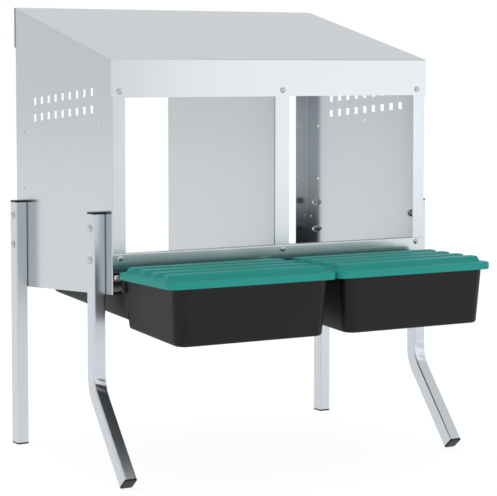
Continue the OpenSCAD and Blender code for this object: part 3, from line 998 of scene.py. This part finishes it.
@dataclass(frozen=True)
class EggTray:
    """Moulded tray: a deep egg bin in front and a shallow sloping nest floor behind it."""

    half_bottom: float = 130.5
    reach: float = 183.0
    bottom: float = 231.0
    rim: float = 327.4
    draft: float = 0.063
    corner: float = 18.0
    corner_spread: float = 0.4
    back_corner: float = 1.5
    bottom_edge: float = 4.0
    edge_steps: int = 6
    bottom_insets: tuple[float, ...] = (2.0, 4.0, 7.0, 10.0, 13.0)
    wall: float = 2.6
    wall_frames: int = 12
    back_low: float = -21.5
    back_high: float = -9.5
    sill: float = 257.5
    sill_haste: float = 1.6
    collar_half: float = 142.5
    collar_drop: float = 1.0
    collar_fold: float = 0.6
    collar_fronts: tuple[float, ...] = (0.15, 0.1, 0.05)
    collar_radii: tuple[float, ...] = (14.0, 15.0, 17.0)
    grid_lines: int = 24
    floor_slope: float = 0.0629
    floor_front: float = 254.9
    floor_strip: float = 30.0
    foot_radius: float = 2.5
    foot_share: float = 0.5
    shoulder_radius: float = 2.0
    shoulder_share: float = 0.25
    turn_points: int = 6
    nest_half: float = 133.0
    nest_slant: float = 0.02
    nest_bend: float = 244.0
    nest_end: float = 258.0
    nest_runs: tuple[Run, ...] = (
        Run(-24.5, 2.0, 6),
        Run(4.0, 244.0, 30),
        Run(246.0, 258.0, 14),
        Run(262.0, 372.2, 10),
    )
    rim_half: float = 145.0
    rim_start: float = 1.0
    rim_rise: float = 5.0
    least_rim: float = 0.4
    rim_front_height: float = 296.8
    rim_slope: float = 0.06133
    rim_end: float = 372.2
    rim_lines: int = 16
    lip: float = 6.4
    lip_root: float = 2.0
    lip_points: int = 9
    hinge_depth: float = -8.0
    hinge_height: float = 321.0
    ear_place: float = 135.5
    ear_width: float = 4.0
    ear_radius: float = 5.2
    ear_turn: tuple[float, float] = (-0.15, 0.5)
    ear_points: int = 14
    ear_lines: int = 3
    ear_front: float = -13.5
    ear_back: float = -5.0
    ear_drop: float = -22.0

    def bin_sheet(self, x: float, layout: Layout) -> Shell:
        """Outer skin of the egg bin, from its collar down its walls and over its bottom.

        The skin is a grid over nested frames. Each frame has a share of the wall's height:
        the wall leans out by the draft, a quarter circle rounds its foot, and the bottom
        slopes up to the back. The back wall stops at the sill of the nest floor.

        Args:
            x: Place of the tray across the box.
            layout: The layout that places the points.

        Returns:
            The skin, open at the top.
        """
        turn = np.linspace(0.0, QUARTER_TURN, self.edge_steps + 1)[1:]
        edge = self.bottom_edge
        tall = self.rim - self.bottom
        collar = len(self.collar_radii)
        walls = np.linspace(tall - self.wall - self.collar_drop, edge, self.wall_frames)
        inner = edge + np.array(self.bottom_insets)
        lift = np.concatenate([
            np.full(collar, tall - self.wall), walls, edge * (1.0 - np.sin(turn)), np.zeros(len(inner)),
        ])
        tuck = np.concatenate([
            np.zeros(collar + len(walls)), edge * (1.0 - np.cos(turn)), inner,
        ])
        half = self.half_bottom + self.draft * lift - tuck
        below = half[collar]
        half[:collar] = [self.collar_half, (self.collar_half + below) / 2, below + self.collar_fold]
        front = -self.reach - self.draft * lift + tuck
        front[:collar] = front[collar] - np.array(self.collar_fronts)
        back = self.back_low + (self.back_high - self.back_low) * lift / tall - tuck
        radius = np.maximum(self.corner + self.corner_spread - tuck, 0.0)
        radius[:collar] = self.collar_radii
        back_radius = np.full(len(half), self.back_corner)
        radius[-1] = back_radius[-1] = 0.0
        frames = NestedFrames(-half, half, front, back, radius, back_radius)
        xs = np.linspace(-half[-1], half[-1], self.grid_lines)
        ys = np.linspace(front[-1], back[-1], self.grid_lines)
        gx, gy, level, side = plate_grid(frames, xs, ys)
        base = self.bottom + self.floor_slope * (gy + self.reach)
        top = self.rim + (self.sill - self.rim) * smooth_step(side * self.sill_haste)
        share = lift[level] / tall
        z = base + share * (top - base)
        points = layout.place(x + gx, gy, z).reshape(-1, 3)
        return points, grid_faces(*gx.shape)[:, ::-1], []

    def nest_sheet(self, x: float, layout: Layout) -> Shell:
        """Upper skin of the nest floor and of the rims that slide on the ledges.

        A profile is carried from front to back: rim, rounded shoulder, wall, rounded foot and
        floor, mirrored. Its depth is the rim's height less the sloping floor's. Over the
        floor's rear end it falls to nothing as the square root of 1 less t cubed.

        Args:
            x: Place of the tray across the box.
            layout: The layout that places the points.

        Returns:
            The skin, open all round.
        """
        depth_at = np.concatenate([run.depths() for run in self.nest_runs])[:, None]
        rim_height = self.rim_front_height - self.rim_slope * depth_at
        floor = self.floor_front + self.wall + self.floor_slope * depth_at
        end = np.clip((depth_at - self.nest_bend) / (self.nest_end - self.nest_bend), 0.0, 1.0)
        drop = np.maximum(rim_height - floor, 0.0) * np.sqrt(np.maximum(1.0 - end ** 3, 0.0))
        foot = np.minimum(self.foot_radius, self.foot_share * drop)
        shoulder = np.minimum(self.shoulder_radius, self.shoulder_share * drop)
        turn = np.linspace(0.0, QUARTER_TURN, self.turn_points)[None, :]
        inner = self.nest_half - self.wall
        spread = smooth_step((depth_at - self.rim_start) / self.rim_rise)
        flange = inner + self.least_rim + (self.rim_half - inner) * spread
        slant = self.nest_slant * drop
        out = np.concatenate([
            flange,
            inner + shoulder * (1.0 - np.sin(turn)),
            inner - slant - foot * (1.0 - np.cos(turn)),
            inner - slant - foot - self.floor_strip,
        ], axis=1)
        fall = np.concatenate([
            np.zeros_like(flange),
            shoulder * (1.0 - np.cos(turn)),
            drop - foot + foot * np.sin(turn),
            drop,
        ], axis=1)
        gx = np.concatenate([-out, out[:, ::-1]], axis=1)
        height = rim_height - np.concatenate([fall, fall[:, ::-1]], axis=1)
        points = layout.place(x + gx, depth_at, height).reshape(-1, 3)
        return points, grid_faces(*gx.shape)[:, ::-1], []

    def rear_lip(self, x: float, layout: Layout) -> Shell:
        """Upstand at the tray's rear edge, a bar whose top edge is a half circle.

        Args:
            x: Place of the tray across the box.
            layout: The layout that places the points.

        Returns:
            The bar as a closed shell.
        """
        turn = np.linspace(0.0, math.pi, self.lip_points)
        base = self.rim_front_height - self.rim_slope * self.rim_end
        half = self.wall / 2
        root = -self.lip_root
        depth = self.rim_end - half + np.concatenate([half * np.cos(turn), [-half, half]])
        height = base + np.concatenate([self.lip - half + half * np.sin(turn), [root, root]])
        ends = np.linspace(-self.rim_half, self.rim_half, self.rim_lines)[:, None]
        return ring_stack(layout.place(x + ends, depth[None, :], height[None, :]))

    def ear(self, x: float, layout: Layout) -> Shell:
        """Ear that holds the hinge rod: a round eye on a foot that runs down the bin's edge.

        Args:
            x: Place of the ear across the box.
            layout: The layout that places the points.

        Returns:
            The ear as a closed shell.
        """
        turn = np.linspace(*(part * math.pi for part in self.ear_turn), self.ear_points)
        depth = self.hinge_depth + np.concatenate([
            self.ear_radius * np.cos(turn), [self.ear_front, self.ear_front, self.ear_back],
        ])
        height = self.hinge_height + np.concatenate([
            self.ear_radius * np.sin(turn), [self.ear_radius, self.ear_drop, self.ear_drop],
        ])
        ends = np.linspace(-self.ear_width / 2, self.ear_width / 2, self.ear_lines)[:, None]
        return ring_stack(layout.place(x + ends, depth[None, :], height[None, :]))

    def build(self, shop: Workshop, side: Side) -> set[str]:
        """Make one tray.

        Args:
            shop: The workshop.
            side: Side of the box.

        Returns:
            The CAD nodes that the pieces stand for.
        """
        node = f"{side.value}_tray"
        low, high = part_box(node)
        x = (low.x + high.x) / 2 / MM
        layout = shop.layout
        name, slot = side.value, "tray_plastic"
        bin_skin, nest_skin = [self.bin_sheet(x, layout)], [self.nest_sheet(x, layout)]
        shop.piece(f"{name}_egg_bin", bin_skin, slot, node, (node,), self.wall)
        shop.piece(f"{name}_nest_floor", nest_skin, slot, node, (), self.wall)
        solids = [self.rear_lip(x, layout)]
        solids += [self.ear(x + sign * self.ear_place, layout) for sign in (-1.0, 1.0)]
        shop.piece(f"{name}_rod_ears", solids, slot, node)
        return {node}


# ---------------------------------------------------------------- lids


@dataclass(frozen=True)
class RibbedLid:
    """Moulded lid with a skirt, a flat rim and broad ribs across it."""

    width: float = 297.5
    reach: float = 191.9
    back: float = 22.5
    bottom: float = 319.4
    rear_bottom: float = 328.9
    rear_rise: float = 0.1
    rear_haste: float = 8.0
    top: float = 331.0
    wall: float = 2.0
    corner: float = 16.0
    rear_corner: float = 5.0
    edge: float = 3.2
    rib_count: int = 4
    first_rib: float = 156.5
    rib_pitch: float = 38.5
    rib_width: float = 29.0
    rib_height: float = 8.0
    rib_corner: float = 7.0
    rib_slope: float = 6.5
    rib_start: float = 0.05
    rim_width: float = 7.0
    groove_lift: float = 1.6
    groove_slope: float = 3.0
    skirt_insets: tuple[float, ...] = (0.1, 0.05, 0.0)
    skirt_step: float = 0.5
    edge_steps: int = 5
    rim_insets: tuple[float, ...] = (
        4.0, 4.7, 5.4, 6.1, 6.8, 7.5, 8.2, 9.0, 9.8, 10.6, 11.4, 12.2, 13.0, 14.0, 15.0, 16.0,
    )
    columns: int = 20
    rows: int = 170
    hinge_depth: float = -8.0
    hinge_height: float = 321.0
    knuckle_radius: float = 6.2
    knuckle_bore: float = 3.26
    knuckle_length: float = 34.0
    knuckle_places: tuple[float, ...] = (-92.0, 0.0, 92.0)
    knuckle_points: int = 64
    web_overlap: float = 2.0
    web_sink: float = 0.3
    web_degrees: tuple[float, float] = (138.0, 168.0)

    def relief(self, gx: np.ndarray, gy: np.ndarray) -> np.ndarray:
        """Height of the ribs above the flat rim.

        One raised field covers all ribs and lifts the grooves between them a little. Each rib
        is a rounded rectangle whose edge rises smoothly over rib_slope.

        Args:
            gx: Places across the lid.
            gy: Places behind the front face.

        Returns:
            The height at each point.
        """
        half = self.width / 2 - self.rim_width
        middle = -self.first_rib + self.rib_pitch * (self.rib_count - 1) / 2
        deep = self.rib_pitch * (self.rib_count - 1) / 2 + self.rib_width / 2
        field = inside_distance(gx, gy - middle, (half, deep), self.rib_corner)
        height = self.groove_lift * smooth_step(field / self.groove_slope)
        for index in range(self.rib_count):
            centre = -self.first_rib + index * self.rib_pitch
            inside = inside_distance(gx, gy - centre, (half, self.rib_width / 2), self.rib_corner)
            rise = smooth_step(inside / self.rib_slope + self.rib_start)
            height = np.maximum(height, self.rib_height * rise)
        return height

    def sheet(self, x: float, layout: Layout) -> Shell:
        """Upper skin of the lid: skirt, rounded edge, rim and ribs as one grid over frames.

        The skirt's bottom is higher along the rear edge, so that it clears the tray.

        Args:
            x: Place of the lid across the box.
            layout: The layout that places the points.

        Returns:
            The skin, open below.
        """
        turn = np.linspace(0.0, QUARTER_TURN, self.edge_steps + 1)[1:]
        edge = self.edge
        inset = np.concatenate([self.skirt_insets, edge * (1.0 - np.cos(turn)), self.rim_insets])
        level_z = np.concatenate([
            [self.bottom, self.bottom + self.skirt_step, self.top - edge],
            self.top - edge + edge * np.sin(turn),
            np.full(len(self.rim_insets), self.top),
        ])
        half = self.width / 2 - inset
        front, back = -self.reach + inset, -self.back - inset
        radius = np.maximum(self.corner - inset, 0.0)
        rear_radius = np.maximum(self.rear_corner - inset, 0.0)
        frames = NestedFrames(-half, half, front, back, radius, rear_radius)
        xs = np.linspace(-half[-1], half[-1], self.columns)
        ys = np.linspace(front[-1], back[-1], self.rows)
        gx, gy, level, side = plate_grid(frames, xs, ys)
        low = level_z[level]
        raised = np.maximum(low, self.rear_bottom + self.rear_rise * (low - self.bottom))
        z = low + (raised - low) * smooth_step(side * self.rear_haste) + self.relief(gx, gy)
        points = layout.place(x + gx, gy, z).reshape(-1, 3)
        return points, grid_faces(*gx.shape), []

    def knuckle(self, x: float, layout: Layout) -> Shell:
        """Barrel that turns on the rod, with a web up to the lid.

        Seen from the side it is a circle round the rod. Between the web's two angles it
        follows a rectangle instead, which reaches to the lid's rear edge and up to its skin:
        the distance out is 1 over the larger of |cosine| / reach and |sine| / rise. The bore is
        a circle, and the four rings make a closed loop.

        Args:
            x: Place of the barrel across the box.
            layout: The layout that places the points.

        Returns:
            The barrel as a closed shell.
        """
        count = self.knuckle_points
        angle = np.linspace(0.0, 2 * math.pi, count, endpoint=False)
        web_reach = self.back + self.web_overlap + self.hinge_depth
        web_rise = self.top - self.web_sink - self.hinge_height
        far = 1.0 / np.maximum(np.abs(np.cos(angle)) / web_reach, np.abs(np.sin(angle)) / web_rise)
        web_from, web_to = np.radians(self.web_degrees)
        radius = np.where((angle > web_from) & (angle < web_to), far, self.knuckle_radius)
        bore = np.full(count, self.knuckle_bore)
        ends = np.array([-1.0, 1.0, 1.0, -1.0]) * self.knuckle_length / 2
        radii = np.stack([radius, radius, bore, bore])
        depth = self.hinge_depth + radii * np.cos(angle)
        height = self.hinge_height + radii * np.sin(angle)
        rings = layout.place(x + ends[:, None], depth, height)
        quads = grid_faces(len(rings) + 1, count, wrap=True) % (len(rings) * count)
        return rings.reshape(-1, 3), quads, []

    def build(self, shop: Workshop, side: Side) -> set[str]:
        """Make one lid.

        Args:
            shop: The workshop.
            side: Side of the box.

        Returns:
            The CAD nodes that the pieces stand for.
        """
        node = f"{side.value}_lid"
        low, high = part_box(node)
        x = (low.x + high.x) / 2 / MM
        layout = shop.layout
        name, slot = side.value, "lid_plastic"
        cover = [self.sheet(x, layout)]
        shop.piece(f"{name}_ribbed_cover", cover, slot, node, (node,), self.wall)
        barrels = [self.knuckle(x + place, layout) for place in self.knuckle_places]
        shop.piece(f"{name}_hinge_barrels", barrels, slot, node)
        return {node}


# ---------------------------------------------------------------- studio


@dataclass(frozen=True)
class Softbox:
    """A large rectangular area light that faces a target."""

    name: str
    place: tuple[float, float, float]
    size: tuple[float, float]
    power: float
    target: tuple[float, float, float] = (0.0, 0.0, 0.4)

    def build(self) -> None:
        """Hang the light and turn it to its target."""
        data = bpy.data.lights.new(self.name, "AREA")
        data.shape = "RECTANGLE"
        data.size, data.size_y = self.size
        data.energy = self.power
        light = bpy.data.objects.new(self.name, data)
        light.location = self.place
        aim = Vector(self.target) - Vector(self.place)
        light.rotation_euler = aim.to_track_quat("-Z", "Y").to_euler()
        bpy.context.scene.collection.objects.link(light)


@dataclass(frozen=True)
class Studio:
    """Pale floor, soft light and the camera."""

    camera_place: tuple[float, float, float] = (-1.5799, -2.6933, 0.6485)
    camera_yaw: float = 0.5311
    camera_pitch: float = 0.0704
    lens: float = 134.72
    camera_shift: float = -0.1
    view_end: float = 60.0
    floor_half: float = 12.0
    floor_shade: float = 0.14
    floor_glow: float = 0.9
    floor_roughness: float = 0.9
    floor_shine: float = 0.1
    backdrop_light: float = 1.0
    fill_light: float = 0.86
    boxes: tuple[Softbox, ...] = (
        Softbox("front_softbox", place=(3.4, -3.6, 1.5), size=(3.6, 3.4), power=22.0),
        Softbox("overhead_softbox", place=(0.0, 0.4, 3.4), size=(3.0, 3.0), power=8.0),
    )

    def build(self) -> None:
        """Make the floor, the world, the lights and the camera."""
        self._floor()
        self._world()
        for box in self.boxes:
            box.build()
        self._camera()
        bpy.context.scene.view_settings.view_transform = "Standard"

    def _floor(self) -> None:
        """Lay the floor, a matt white sheet that glows a little so that it stays pale."""
        half = self.floor_half
        mesh = bpy.data.meshes.new("floor")
        corners = [(-half, -half, 0.0), (half, -half, 0.0), (half, half, 0.0), (-half, half, 0.0)]
        mesh.from_pydata(corners, [], [(0, 1, 2, 3)])
        graph = SurfaceGraph("pale_floor")
        shade = (self.floor_shade,) * 3
        graph.shader.inputs["Base Color"].default_value = (*shade, 1.0)
        graph.shader.inputs["Roughness"].default_value = self.floor_roughness
        graph.shader.inputs["Specular IOR Level"].default_value = self.floor_shine
        graph.shader.inputs["Emission Color"].default_value = WHITE
        graph.shader.inputs["Emission Strength"].default_value = self.floor_glow
        mesh.materials.append(graph.material)
        floor = bpy.data.objects.new("floor", mesh)
        bpy.context.scene.collection.objects.link(floor)

    def _world(self) -> None:
        """Light the scene from all round with white, and show a white backdrop."""
        world = bpy.data.worlds.new("studio_white")
        world.use_nodes = True
        bpy.context.scene.world = world
        tree = world.node_tree
        fill = tree.nodes["Background"]
        fill.inputs["Color"].default_value = WHITE
        fill.inputs["Strength"].default_value = self.fill_light
        backdrop = tree.nodes.new("ShaderNodeBackground")
        backdrop.inputs["Color"].default_value = WHITE
        backdrop.inputs["Strength"].default_value = self.backdrop_light
        seen = tree.nodes.new("ShaderNodeLightPath")
        mix = tree.nodes.new("ShaderNodeMixShader")
        tree.links.new(seen.outputs["Is Camera Ray"], mix.inputs[0])
        tree.links.new(fill.outputs[0], mix.inputs[1])
        tree.links.new(backdrop.outputs[0], mix.inputs[2])
        tree.links.new(mix.outputs[0], tree.nodes["World Output"].inputs["Surface"])

    def _camera(self) -> None:
        """Stand the camera in front to the left, above the lids and looking slightly down."""
        data = bpy.data.cameras.new("camera")
        data.lens = self.lens
        data.shift_y = self.camera_shift
        data.clip_end = self.view_end
        camera = bpy.data.objects.new("camera", data)
        camera.location = self.camera_place
        camera.rotation_euler = (math.pi / 2 - self.camera_pitch, 0.0, -self.camera_yaw)
        bpy.context.scene.collection.objects.link(camera)
        bpy.context.scene.camera = camera


# ---------------------------------------------------------------- assembly


def build_object(frame: dict) -> None:
    """Build every sub-assembly in order.
    """
    layout = Layout(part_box("roof_panel")[0].y)
    shop = Workshop(Finishes(), layout)
    replaced = LegSet().build(shop)
    for side in Side:
        replaced |= EggTray().build(shop, side)
        replaced |= RibbedLid().build(shop, side)
    SheetBody(shop, frame["nodes"], frame["record"]).build(replaced)


def main() -> None:
    """Load the frame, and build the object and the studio."""
    logging.basicConfig(level=logging.INFO, format="%(name)s: %(message)s")
    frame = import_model()
    Studio().build()
    build_object(frame)


if __name__ == "__main__":
    main()
